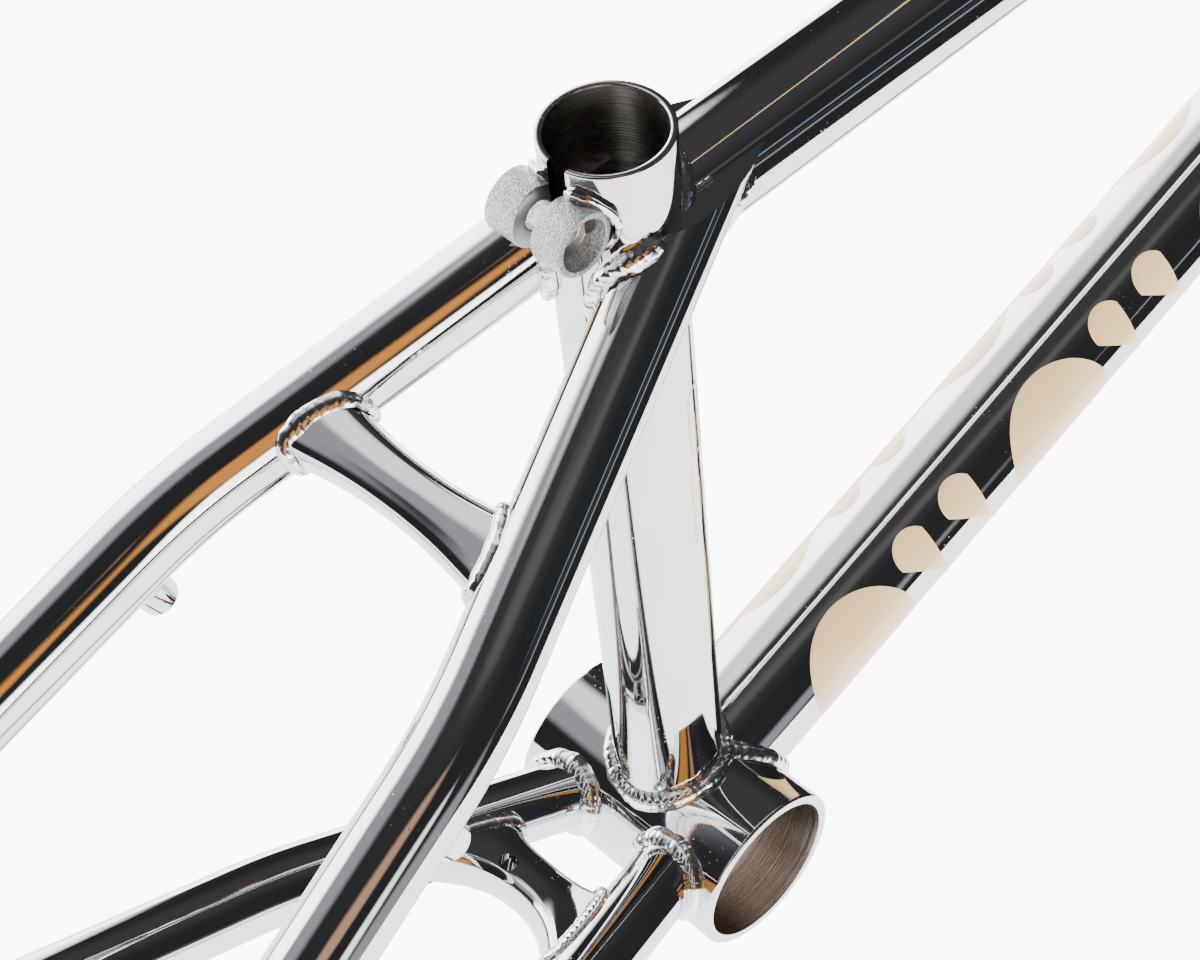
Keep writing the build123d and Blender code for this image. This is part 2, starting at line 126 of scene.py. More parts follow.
head_foot = np.array(MOUNTS["head_bearing_lower"]["pos_m"]) / MM - HEAD_UP * BEARING_DEPTH / 2
ear_middle = np.array(MOUNTS["clamp_bolt_hole"]["pos_m"]) / MM
down_length = float(np.dot(top_front - down_rear, DOWN_ALONG))

plate_middle = (HUB_WIDTH + DROPOUT_THICKNESS) / 2
seatstay_top = top_rear + np.array([SEATSTAY_AHEAD, 0.0, 0.0])
chainstay_top = np.array([-CHAINSTAY_DEEP, 0.0, 0.0])
seatstay_run = unit(seatstay_top - STAY_CROSSING)
chainstay_run = unit(chainstay_top - STAY_CROSSING)
half_angle = np.arccos(seatstay_run @ chainstay_run) / 2
end_short = (STAY_RADIUS + STAY_GAP / 2) / np.tan(half_angle)


def stay_corners(top, run, share_y):
    """Corners of one left stay: straight in side view, stepping outwards at its bends."""
    end = STAY_CROSSING + run * end_short
    return np.array([top + (end - top) * share + ACROSS * y for share, y in share_y])


seatstay_corners = stay_corners(seatstay_top, seatstay_run, (
    (0, SEAT_RADIUS - SEATSTAY_LAP), (SEATSTAY_BENDS[0], TYRE_ROOM + STAY_RADIUS),
    (SEATSTAY_BENDS[1], plate_middle), (1, plate_middle)))
chainstay_corners = stay_corners(chainstay_top, chainstay_run, (
    (0, SHELL_WIDTH / 2 - CHAINSTAY_ON_SHELL), (CHAINSTAY_BENDS[0], CHAINSTAY_WAIST),
    (CHAINSTAY_BENDS[1], plate_middle), (1, plate_middle)))


def along_stay(corners, share):
    """Point and direction on a stay's corner line, at a share of its length in side view."""
    x = corners[0, 0] + (corners[-1, 0] - corners[0, 0]) * share
    for near, far in zip(corners, corners[1:]):
        if far[0] <= x <= near[0]:
            return near + (far - near) * ((near[0] - x) / (near[0] - far[0])), unit(far - near)
    raise ValueError("the share is outside the stay")


# -------------------- geometry helpers
def square_to(direction):
    """Two unit vectors square to a direction and to each other."""
    aside = np.cross(direction, ACROSS)
    if np.linalg.norm(aside) < 0.3:
        aside = np.cross(direction, (0.0, 0.0, 1.0))
    first = unit(aside)
    return first, np.cross(direction, first)


def ring_dirs(direction, count):
    """Outward unit vectors round a direction."""
    first, second = square_to(direction)
    turn = np.linspace(0, FULL_TURN, count, endpoint=False)[:, None]
    return np.cos(turn) * first + np.sin(turn) * second


def line_hits(points, direction, cylinder):
    """Where lines along one direction enter and leave an endless cylinder (point, direction, radius)."""
    centre, along, radius = cylinder
    offset = points - centre
    offset = offset - (offset @ along)[:, None] * along
    step = direction - (direction @ along) * along
    a = step @ step
    b = offset @ step
    root = b * b - a * ((offset * offset).sum(1) - radius * radius)
    reach = np.sqrt(np.where(root >= 0, root, np.nan))
    return (-b - reach) / a, (-b + reach) / a


def outward(points, cylinder):
    """Unit normals of a cylinder at points on it."""
    centre, along, _ = cylinder
    offset = points - centre
    return unit(offset - (offset @ along)[:, None] * along)


SEAT = (ORIGIN, SEAT_UP, SEAT_RADIUS)
SHELL = (ORIGIN, ACROSS, SHELL_RADIUS)
TOP = (top_rear, TOP_ALONG, TOP_RADIUS)
DOWN = (down_rear, DOWN_ALONG, DOWN_RADIUS)
HEAD = (head_foot, HEAD_UP, HEAD_RADIUS)


def new_piece(name, points, faces, material, normals=None):
    """A mesh piece that rides on the frame's one body. Points are in millimetres."""
    mesh = bpy.data.meshes.new(name)
    mesh.from_pydata((np.asarray(points) * MM).tolist(), [], [list(map(int, face)) for face in faces])
    mesh.validate()
    mesh.shade_smooth()
    if normals is not None:
        mesh.normals_split_custom_set_from_vertices(np.asarray(normals).tolist())
    mesh.materials.append(material)
    piece = bpy.data.objects.new(name, mesh)
    bpy.context.scene.collection.objects.link(piece)
    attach(piece, BODY)
    return piece


def grid_faces(rows, columns, closed):
    """Quads of a grid of points, row after row, closed round each row or not."""
    last = columns if closed else columns - 1
    faces = []
    for here in range(0, (rows - 1) * columns, columns):
        there = here + columns
        for c in range(last):
            after = (c + 1) % columns
            faces.append((here + c, here + after, there + after, there + c))
    return faces


def skin(name, rows, material, normals=None, closed=True):
    """A surface through rows of points."""
    rows = np.asarray(rows)
    flat = None if normals is None else np.asarray(normals).reshape(-1, 3)
    faces = grid_faces(rows.shape[0], rows.shape[1], closed)
    return new_piece(name, rows.reshape(-1, 3), faces, material, flat)


def coped_tube(name, tube, length, start_cuts, end_cuts, material, count=144, rows=40):
    """A straight tube whose ends follow its neighbours. Returns the piece, its edges and their normals."""
    centre, along, radius = tube
    dirs = ring_dirs(along, count)
    foot = centre + dirs * radius
    start = np.zeros(count)
    for cut in start_cuts:
        start = np.fmax(start, line_hits(foot, along, cut)[1])
    end = np.full(count, length)
    for cut in end_cuts:
        end = np.fmin(end, line_hits(foot, along, cut)[0])
    shares = np.linspace(0, 1, rows)[:, None]
    reach = start + (end - start) * shares
    points = foot + reach[..., None] * along
    piece = skin(name, points, material, np.broadcast_to(dirs, points.shape))
    return piece, points[0], points[-1], dirs


SHARP_ANGLE = 35.0


def lathe(name, centre, along, profile, material, count=128):
    """A turned piece: profile is a list of (radius, distance along the axis)."""
    dirs = ring_dirs(along, count)
    rows = np.array([centre + along * reach + dirs * radius for radius, reach in profile])
    piece = skin(name, rows, material)
    piece.data.set_sharp_from_angle(angle=np.radians(SHARP_ANGLE))
    return piece


def rounded(corner_list, radius, steps=4):
    """A profile with its inner corners rounded off."""
    pts = [np.array(c, float) for c in corner_list]
    out = [tuple(pts[0])]
    for before, corner, after in zip(pts, pts[1:], pts[2:]):
        cut = min(radius, np.linalg.norm(before - corner) / 2.2, np.linalg.norm(after - corner) / 2.2)
        a = corner + unit(before - corner) * cut
        b = corner + unit(after - corner) * cut
        for share in np.linspace(0, 1, steps):
            out.append(tuple((1 - share) ** 2 * a + 2 * share * (1 - share) * corner + share ** 2 * b))
    out.append(tuple(pts[-1]))
    return out


def bent_axis(corners, bend=STAY_BEND, step=3.0):
    """Points along a corner line with its corners turned into arcs, about a step apart."""
    out = [corners[0]]
    for before, corner, after in zip(corners, corners[1:], corners[2:]):
        back, on = unit(before - corner), unit(after - corner)
        turn = np.arccos(np.clip(-(back @ on), -1, 1))
        cut = bend * np.tan(turn / 2)
        inward = unit(back + on)
        centre = corner + inward * np.hypot(bend, cut)
        first = unit(corner + back * cut - centre)
        last = unit(corner + on * cut - centre)
        for share in np.linspace(0, 1, 15):
            out.append(centre + bend * unit(first * (1 - share) + last * share))
    out.append(corners[-1])
    dense = []
    for a, b in zip(out, out[1:]):
        parts = max(1, int(np.linalg.norm(b - a) / step))
        dense += [a + (b - a) * share for share in np.linspace(0, 1, parts, endpoint=False)]
    dense.append(out[-1])
    return np.array(dense)


# -------------------- materials
class Nodes:
    """Short spelling for building one node material."""

    def __init__(self, name):
        self.material = bpy.data.materials.new(name)
        self.material.use_nodes = True
        self.tree = self.material.node_tree
        self.shader = next(node for node in self.tree.nodes if node.type == "BSDF_PRINCIPLED")
        self.place = self.add("ShaderNodeTexCoord").outputs["Object"]

    def add(self, kind, **settings):
        node = self.tree.nodes.new(kind)
        for key, value in settings.items():
            setattr(node, key, value)
        return node

    def link(self, source, target):
        self.tree.links.new(source, target)

    def noise(self, scale, detail=3.0, roughness=0.5, place=None):
        node = self.add("ShaderNodeTexNoise")
        node.inputs["Scale"].default_value = scale
        node.inputs["Detail"].default_value = detail
        node.inputs["Roughness"].default_value = roughness
        self.link(place or self.place, node.inputs["Vector"])
        return node.outputs["Fac"]

    def ramp(self, value, stops):
        node = self.add("ShaderNodeValToRGB")
        elements = node.color_ramp.elements
        for element, (spot, colour) in zip(elements, stops):
            element.position, element.color = spot, (*colour, 1.0)
        for spot, colour in stops[2:]:
            elements.new(spot).color = (*colour, 1.0)
        self.link(value, node.inputs["Fac"])
        return node.outputs["Color"]

    def colour(self, value, stops):
        self.link(self.ramp(value, stops), self.shader.inputs["Base Color"])

    def span(self, value, low, high, to_low, to_high):
        node = self.add("ShaderNodeMapRange")
        for key, number in (("From Min", low), ("From Max", high), ("To Min", to_low), ("To Max", to_high)):
            node.inputs[key].default_value = number
        self.link(value, node.inputs["Value"])
        return node.outputs["Result"]

    def maths(self, operation, first, second):
        node = self.add("ShaderNodeMath", operation=operation)
        for socket, value in zip(node.inputs, (first, second)):
            if isinstance(value, (int, float)):
                socket.default_value = value
            else:
                self.link(value, socket)
        return node.outputs[0]

    def bump(self, height, strength, distance):
        node = self.add("ShaderNodeBump")
        node.inputs["Strength"].default_value = strength
        node.inputs["Distance"].default_value = distance
        self.link(height, node.inputs["Height"])
        self.link(node.outputs["Normal"], self.shader.inputs["Normal"])

    def stretched(self, scale):
        """Coordinates squeezed along an axis, for brushed or turned marks."""
        node = self.add("ShaderNodeMapping")
        node.inputs["Scale"].default_value = scale
        self.link(self.place, node.inputs["Vector"])
        return node.outputs["Vector"]


def chrome_material():
    """Bright plate with faint haze, polishing lines and specks of dust."""
    m = Nodes("chrome_plate")
    m.shader.inputs["Metallic"].default_value = 1.0
    haze = m.noise(38.0, 4.0)
    m.colour(haze, [(0.3, (0.60, 0.61, 0.625)), (0.7, (0.66, 0.665, 0.675))])
    dust = m.add("ShaderNodeTexVoronoi")
    dust.inputs["Scale"].default_value = 620.0
    m.link(m.place, dust.inputs["Vector"])
    patchy = m.span(m.noise(55.0, 2.0), 0.52, 0.68, 0.0, 1.0)
    speck = m.maths("MULTIPLY", m.span(dust.outputs["Distance"], 0.10, 0.16, 1.0, 0.0), patchy)
    rough = m.span(haze, 0.3, 0.75, 0.025, 0.06)
    m.link(m.maths("ADD", rough, m.maths("MULTIPLY", speck, 0.4)), m.shader.inputs["Roughness"])
    m.bump(m.noise(160.0, 5.0, 0.6), 0.012, 0.0006)
    return m.material


def plate_material():
    """Chrome over laser-cut plate: a fine polished grain, so its flats aren't perfect mirrors."""
    m = Nodes("plate_chrome")
    m.shader.inputs["Metallic"].default_value = 1.0
    grain = m.noise(1.0, 4.0, 0.6, m.stretched((60.0, 60.0, 900.0)))
    patchy = m.noise(45.0, 4.0)
    m.colour(patchy, [(0.3, (0.52, 0.53, 0.545)), (0.7, (0.66, 0.665, 0.675))])
    m.link(m.span(patchy, 0.3, 0.7, 0.10, 0.20), m.shader.inputs["Roughness"])
    m.bump(grain, 0.25, 0.0004)
    return m.material


def weld_material():
    """The same plate over weld metal: a little rougher and warmer in random patches."""
    m = Nodes("weld_metal")
    m.shader.inputs["Metallic"].default_value = 1.0
    tint = m.noise(210.0, 3.0)
    m.colour(tint, [(0.35, (0.74, 0.72, 0.70)), (0.65, (0.87, 0.87, 0.88))])
    m.link(m.span(tint, 0.3, 0.7, 0.22, 0.12), m.shader.inputs["Roughness"])
    m.bump(m.noise(420.0, 4.0, 0.6), 0.10, 0.0004)
    return m.material


def satin_material():
    """Blasted metal under thin plate: fine even sparkle."""
    m = Nodes("satin_lug")
    m.shader.inputs["Metallic"].default_value = 1.0
    grain = m.noise(2600.0, 3.0, 0.6)
    m.colour(grain, [(0.40, (0.30, 0.305, 0.315)), (0.60, (0.82, 0.825, 0.83))])
    m.link(m.span(grain, 0.35, 0.65, 0.38, 0.24), m.shader.inputs["Roughness"])
    m.bump(grain, 1.0, 0.00035)
    return m.material


def bore_material(name, dark, light, along, pitch, rough=(0.22, 0.38)):
    """A turned bore: fine rings round the axis, over a mottled metal."""
    m = Nodes(name)
    m.shader.inputs["Metallic"].default_value = 1.0
    dot = m.add("ShaderNodeVectorMath", operation="DOT_PRODUCT")
    m.link(m.place, dot.inputs[0])
    dot.inputs[1].default_value = tuple(along)
    rings = m.add("ShaderNodeTexNoise", noise_dimensions="1D")
    rings.inputs["Scale"].default_value = 1.0 / pitch
    rings.inputs["Detail"].default_value = 3.0
    m.link(dot.outputs["Value"], rings.inputs["W"])
    mottle = m.noise(70.0, 4.0)
    ring_part = m.maths("MULTIPLY", rings.outputs["Fac"], 0.55)
    mixed = m.maths("ADD", ring_part, m.maths("MULTIPLY", mottle, 0.45))
    m.colour(mixed, [(0.36, dark), (0.62, light)])
    m.link(m.span(rings.outputs["Fac"], 0.35, 0.65, rough[1], rough[0]), m.shader.inputs["Roughness"])
    m.bump(rings.outputs["Fac"], 0.5, 0.0002)
    return m.material


def vinyl_material():
    """Pale gold printed film under a clear gloss coat."""
    m = Nodes("gold_vinyl")
    tone = m.noise(90.0, 3.0)
    m.colour(tone, [(0.3, (0.90, 0.62, 0.28)), (0.7, (0.94, 0.68, 0.34))])
    m.link(m.span(tone, 0.3, 0.7, 0.30, 0.38), m.shader.inputs["Roughness"])
    m.shader.inputs["Coat Weight"].default_value = 0.6
    m.shader.inputs["Coat Roughness"].default_value = 0.06
    m.bump(m.noise(900.0, 3.0), 0.05, 0.0002)
    return m.material


chrome, weld_metal, satin, vinyl = chrome_material(), weld_material(), satin_material(), vinyl_material()
SEAT_BORE_METAL = bore_material(
    "seat_bore", (0.10, 0.095, 0.085), (0.46, 0.44, 0.41), SEAT_UP, 0.00028, (0.30, 0.42))
SHELL_BORE_METAL = bore_material(
    "shell_bore", (0.26, 0.215, 0.185), (0.48, 0.42, 0.37), ACROSS, 0.0003, (0.24, 0.34))
HEAD_BORE_METAL = bore_material("head_bore", (0.16, 0.155, 0.15), (0.45, 0.44, 0.43), HEAD_UP, 0.0006)
EAR_BORE_METAL = bore_material("ear_bore", (0.36, 0.355, 0.35), (0.70, 0.70, 0.70), ACROSS, 0.0004)


# -------------------- weld beads
BEAD_LEG, BEAD_PITCH, BEAD_ARC = 3.2, 2.2, 9
COIN_STEPS, COIN_SWEEP = 14, 0.42               # rows along each coin, and how far its edge bows, in pitches
BEAD_RISE, COIN_RISE, EDGE_SINK = 0.31, 0.045, 0.25


def weld_bead(name, curve, first_normals, second_normals, leg=BEAD_LEG, closed=True, pitch=BEAD_PITCH,
              stands_for=()):
    """A stacked-coin bead along a corner between two surfaces with their outward normals on the curve."""
    curve = np.asarray(curve, float)
    loop = np.vstack([curve, curve[:1]]) if closed else curve
    lengths = np.r_[0, np.cumsum(np.linalg.norm(np.diff(loop, axis=0), axis=1))]
    total = lengths[-1]
    coins = max(3, round(total / pitch))
    count = coins * COIN_STEPS
    at = np.linspace(0, total, count, endpoint=not closed)
    n1 = np.vstack([first_normals, first_normals[:1]]) if closed else np.asarray(first_normals)
    n2 = np.vstack([second_normals, second_normals[:1]]) if closed else np.asarray(second_normals)
    path = np.array([np.interp(at, lengths, loop[:, i]) for i in range(3)]).T
    n1 = unit(np.array([np.interp(at, lengths, n1[:, i]) for i in range(3)]).T)
    n2 = unit(np.array([np.interp(at, lengths, n2[:, i]) for i in range(3)]).T)
    on = unit(np.cross(n1, n2) + 1e-9)
    a = np.cross(on, n1)
    a *= np.sign((a * n2).sum(1, keepdims=True))
    b = np.cross(on, n2)
    b *= np.sign((b * n1).sum(1, keepdims=True))
    phase = at / total * coins
    taper = np.ones(count) if closed else np.minimum(1, 0.35 + np.minimum(at, total - at) / leg)
    rng = np.random.default_rng(len(name) * 7 + coins)
    uneven = taper + 0.06 * np.interp(at, np.linspace(0, total, coins + 1), rng.normal(size=coins + 1))
    # where the two surfaces run almost level with each other the bead lies down flat
    fullness = 1.0 - 0.75 * np.clip((n1 * n2).sum(1), 0.0, 1.0) ** 2
    rows = []
    bulge = unit(n1 + n2)
    for share in np.linspace(0, 1, BEAD_ARC):
        side = (2 * share - 1) ** 2
        swept = phase - COIN_SWEEP * (1 - side)
        coin = np.sqrt(np.abs(np.sin(pi * swept)) + 0.02)
        size = leg * uneven * (0.975 + 0.025 * coin)
        edge_a, edge_b = path + a * size[:, None], path + b * size[:, None]
        flat = edge_a * (1 - share) + edge_b * share
        rise = leg * (BEAD_RISE * fullness + COIN_RISE * coin) * (1 - side) - EDGE_SINK * side
        rows.append(flat + bulge * rise[:, None])
    points = np.array(rows).transpose(1, 0, 2)
    if closed:
        points = np.concatenate([points, points[:1]])
    piece = skin(name, points, weld_metal, closed=False)
    if stands_for:
        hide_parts(*stands_for)
    return piece


# -------------------- main tubes
def stand_in(node):
    """Hides a CAD node that a detailed piece, built separately, stands in for."""
    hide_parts(node)


def neighbour_normals(points, cylinders):
    """The normal of whichever cylinder each point lies on."""
    gaps = []
    for centre, along, radius in cylinders:
        offset = points - centre
        offset = offset - (offset @ along)[:, None] * along
        gaps.append(np.abs(np.linalg.norm(offset, axis=1) - radius))
    nearest = np.argmin(gaps, axis=0)
    normals = np.array([outward(points, cylinder) for cylinder in cylinders])
    return normals[nearest, np.arange(len(points))]


top_piece, top_start, top_end, top_dirs = coped_tube("tube_top", TOP, TOP_LENGTH, [SEAT], [HEAD], chrome)
stand_in("top_tube")
weld_bead("bead_top_seat", top_start, top_dirs, outward(top_start, SEAT), stands_for=["weld_top_seat"])
weld_bead("bead_top_head", top_end, top_dirs, outward(top_end, HEAD), stands_for=["weld_top_head"])

down_piece, down_start, down_end, down_dirs = coped_tube(
    "tube_down", DOWN, down_length + DOWN_SPARE, [SHELL, SEAT], [HEAD], chrome)
stand_in("down_tube")
weld_bead("bead_down_lower", down_start, down_dirs, neighbour_normals(down_start, [SHELL, SEAT]),
          stands_for=["weld_down_shell", "weld_down_seat"])
weld_bead("bead_down_head", down_end, down_dirs, outward(down_end, HEAD), stands_for=["weld_down_head"])


def dig(piece, cutter):
    """Cuts one closed mesh out of another and throws the cutter away."""
    cut = piece.modifiers.new("cut", "BOOLEAN")
    cut.object, cut.operation, cut.solver = cutter, "DIFFERENCE", "EXACT"
    graph = bpy.context.evaluated_depsgraph_get()
    carved = bpy.data.meshes.new_from_object(piece.evaluated_get(graph))
    piece.modifiers.clear()
    piece.data = carved
    bpy.data.objects.remove(cutter)


def plain_object(name, points, faces):
    """A helper mesh that isn't part of the object."""
    mesh = bpy.data.meshes.new(name)
    mesh.from_pydata((np.asarray(points) * MM).tolist(), [], faces)
    item = bpy.data.objects.new(name, mesh)
    bpy.context.scene.collection.objects.link(item)
    return item


def prism(name, outline, shift):
    """A closed block: an outline and the same outline shifted."""
    outline = np.asarray(outline)
    count = len(outline)
    sides = [(i, (i + 1) % count, (i + 1) % count + count, i + count) for i in range(count)]
    ends = [tuple(range(count))[::-1], tuple(range(count, 2 * count))]
    return plain_object(name, np.vstack([outline, outline + shift]), sides + ends)


def bar(name, centre, along, radius, low, high, count=96):
    """A closed round bar, used as a cutter."""
    dirs = ring_dirs(along, count)
    return prism(name, centre + along * low + dirs * radius, along * (high - low))


# -------------------- seat tube, shell and head tube
def paint_bore(piece, material, centre, along, radius):
    """Gives the bore's metal to the faces that lie nearer to an axis than a radius."""
    piece.data.materials.append(material)
    for face in piece.data.polygons:
        offset = np.array(face.center) / MM - centre
        face.material_index = int(np.linalg.norm(offset - (offset @ along) * along) < radius)


SEAT_SINK, SEAT_LEVEL = 1.0, 6.0                # the foot's depth in the shell, and the step between rows
SLOT_PAST_RIM, SLOT_FROM_AXIS, SLOT_REACH = 10.0, 1.0, 40.0
seat_foot = np.sqrt(SHELL_RADIUS ** 2 - SEAT_RADIUS ** 2) - SEAT_SINK
seat_profile = rounded([
    (SEAT_BORE, seat_foot), (SEAT_RADIUS, seat_foot), (SEAT_RADIUS, SEAT_LENGTH), (SEAT_BORE, SEAT_LENGTH),
    (SEAT_BORE, seat_foot)], 0.45)
levels = []
for (r0, z0), (r1, z1) in zip(seat_profile, seat_profile[1:]):
    parts = max(1, int(abs(z1 - z0) / SEAT_LEVEL))
    levels += [(r0 + (r1 - r0) * k / parts, z0 + (z1 - z0) * k / parts) for k in range(parts)]
seat_piece = lathe("tube_seat", ORIGIN, SEAT_UP, levels + [levels[0]], chrome, 144)
slot_top, slot_foot = SEAT_LENGTH + SLOT_PAST_RIM, SEAT_LENGTH - CLAMP_SLOT_DEPTH
outline = [SEAT_UP * slot_top - ACROSS * CLAMP_GAP / 2]
half = np.arcsin(min(1.0, CLAMP_GAP / 2 / CLAMP_SLOT_ROUND))
for turn in np.linspace(-half, half - 2 * pi, 40):
    height = slot_foot + CLAMP_SLOT_ROUND * np.cos(turn)
    outline.append(SEAT_UP * height + ACROSS * CLAMP_SLOT_ROUND * np.sin(turn))
outline.append(SEAT_UP * slot_top + ACROSS * CLAMP_GAP / 2)
slot_face = np.array(outline)[::-1] + SEAT_BACK * SLOT_FROM_AXIS
dig(seat_piece, prism("slot_cutter", slot_face, SEAT_BACK * SLOT_REACH))
seat_piece.data.set_sharp_from_angle(angle=np.radians(SHARP_ANGLE))
paint_bore(seat_piece, SEAT_BORE_METAL, ORIGIN, SEAT_UP, SEAT_BORE + 0.08)
stand_in("seat_tube")

half_shell = SHELL_WIDTH / 2
shell_profile = rounded([
    (SHELL_BORE + 1.0, -half_shell), (SHELL_RADIUS, -half_shell), (SHELL_RADIUS, half_shell),
    (SHELL_BORE, half_shell), (SHELL_BORE, -half_shell), (SHELL_BORE + 1.0, -half_shell)], 0.9, 5)
shell_piece = lathe("shell", ORIGIN, ACROSS, shell_profile, chrome, 160)
paint_bore(shell_piece, SHELL_BORE_METAL, ORIGIN, ACROSS, SHELL_BORE + 0.1)
stand_in("bb_shell")

head_length = float(np.linalg.norm(head_rim - head_foot))
cup, ring = HEAD_RING_RADIUS, HEAD_RING_HEIGHT
slope = 0.9                                     # rise of the slope from each ring down to the tube
outer = rounded([
    (cup - 2.0, 0), (cup, 0), (cup, ring), (HEAD_RADIUS, ring + slope),
    (HEAD_RADIUS, head_length - ring - slope), (cup, head_length - ring), (cup, head_length),
    (cup - 2.0, head_length)], 1.5, 6)
seat_in = [
    (BEARING_RADIUS + 0.4, head_length), (BEARING_RADIUS, head_length - 0.4),
    (BEARING_RADIUS, head_length - BEARING_DEPTH),
    (HEAD_BORE, head_length - BEARING_DEPTH - BEARING_LEDGE)]
seat_out = [(r, head_length - z) for r, z in reversed(seat_in)]
head_profile = outer + seat_in + seat_out + [outer[0]]
head_piece = lathe("tube_head", head_foot, HEAD_UP, head_profile, chrome, 160)
paint_bore(head_piece, HEAD_BORE_METAL, head_foot, HEAD_UP, BEARING_RADIUS + 0.1)
stand_in("head_tube")

# -------------------- stays
def stay_rings(corners, side, radius, count=96):
    """Rings of points and normals along a bent stay, starting at its first corner."""
    axis = mirrored(bent_axis(corners), side)
    heads = unit(np.gradient(axis, axis=0))
    first = unit(np.cross(heads[0], ACROSS))
    turn = np.linspace(0, FULL_TURN, count, endpoint=False)[:, None]
    rows, normals = [], []
    for point, head in zip(axis, heads):
        first = unit(first - (first @ head) * head)
        second = np.cross(head, first)
        around = np.cos(turn) * first + np.sin(turn) * second
        rows.append(point + radius * around)
        normals.append(around)
    return np.array(rows), np.array(normals), heads


def trim_start(rows, normals, head, hits):
    """Slides a stay's first ring along its first straight to what it meets, and drops the rings passed."""
    start = rows[0]
    keep_from = start + head * hits[:, None]
    straight = (rows - start) @ head
    trimmed = [keep_from]
    kept_normals = [normals[0]]
    limit = np.nanmax(hits) + 1.5
    for row, normal, reach in zip(rows, normals, straight):
        if reach.min() > limit:
            trimmed.append(row)
            kept_normals.append(normal)
    return np.array(trimmed), np.array(kept_normals)


def domed(rows, normals, head, radius, depth=1.2):
    """Adds a rounded rim and a flat face to the lower end of a stay."""
    last, around = rows[-1], normals[-1]
    more, more_normals = [], []
    for turn in np.linspace(0, pi / 2, 6)[1:]:
        more.append(last - around * depth * (1 - np.cos(turn)) + head * depth * (np.sin(turn) - 1))
        more_normals.append(around * np.cos(turn) + head * np.sin(turn))
    rows = np.concatenate([rows[:-1], [last - head * depth], more])
    normals = np.concatenate([normals, more_normals])
    inner = np.array([last - around * radius * share for share in (0.4, 0.7, 0.999)])
    return np.concatenate([rows, inner]), np.concatenate([normals, np.broadcast_to(head, inner.shape)])


FAR_AHEAD, NO_HIT = 60.0, 1e9                   # where the search lines start, and a line that meets nothing
top_plane = TOP_RADIUS - SEATSTAY_TRIM
stay_ends = {}
for side in SIDES:
    rows, normals, heads = stay_rings(seatstay_corners, side, STAY_RADIUS)
    head = heads[0]
    # the first thing each line along the stay meets, coming from behind:
    # 0 the seat tube, 1 the top tube, 2 the flat cut, 3 the frame's middle plane
    back = -head
    far = rows[0] + head * FAR_AHEAD
    enter = line_hits(far, back, SEAT)[0]
    candidates = [np.where(np.isnan(enter), NO_HIT, enter)]
    enter = line_hits(far, back, TOP)[0]
    ahead = (far + back * np.nan_to_num(enter)[:, None] - top_rear) @ TOP_ALONG > 0
    candidates.append(np.where(np.isnan(enter) | ~ahead, NO_HIT, enter))
    rise = (top_plane - (far - top_rear) @ TOP_UP) / (back @ TOP_UP)
    candidates.append(np.where(rise > 0, rise, NO_HIT))
    middle = -far[:, 1] / back[1] if abs(back[1]) > 1e-6 else np.full(len(far), NO_HIT)
    candidates.append(np.where(middle > 0, middle, NO_HIT))
    candidates = np.array(candidates)
    which = candidates.argmin(0)
    reach = FAR_AHEAD - candidates.min(0)
    trimmed, trimmed_normals = trim_start(rows, normals, head, reach)
    trimmed, trimmed_normals = domed(trimmed, trimmed_normals, heads[-1], STAY_RADIUS)
    piece = skin(f"seatstay_{side}_tube", trimmed, chrome, trimmed_normals)
    stand_in(f"seatstay_{side}")
    stay_ends[side] = (trimmed[0], trimmed_normals[0], which)

    rows, normals, heads = stay_rings(chainstay_corners, side, STAY_RADIUS)
    head = heads[0]
    enter = line_hits(rows[0] + head * FAR_AHEAD, -head, SHELL)[0]
    reach = FAR_AHEAD - np.where(np.isnan(enter), FAR_AHEAD, enter)
    trimmed, trimmed_normals = trim_start(rows, normals, head, reach)
    trimmed, trimmed_normals = domed(trimmed, trimmed_normals, heads[-1], STAY_RADIUS)
    piece = skin(f"chainstay_{side}_tube", trimmed, chrome, trimmed_normals)
    stand_in(f"chainstay_{side}")
    weld_bead(f"bead_chainstay_{side}", trimmed[0], trimmed_normals[0], outward(trimmed[0], SHELL),
              stands_for=[f"weld_chainstay_shell_{side}"])

# -------------------- seat stay tops
def open_runs(flags):
    """Runs of consecutive True places on a ring, each as a list of indices in order."""
    count = len(flags)
    starts = [k for k in range(count) if flags[k] and not flags[k - 1]]
    runs = []
    for start in starts:
        run = [start]
        while flags[(run[-1] + 1) % count] and len(run) < count:
            run.append((run[-1] + 1) % count)
        runs.append(run)
    return sorted(runs, key=len)


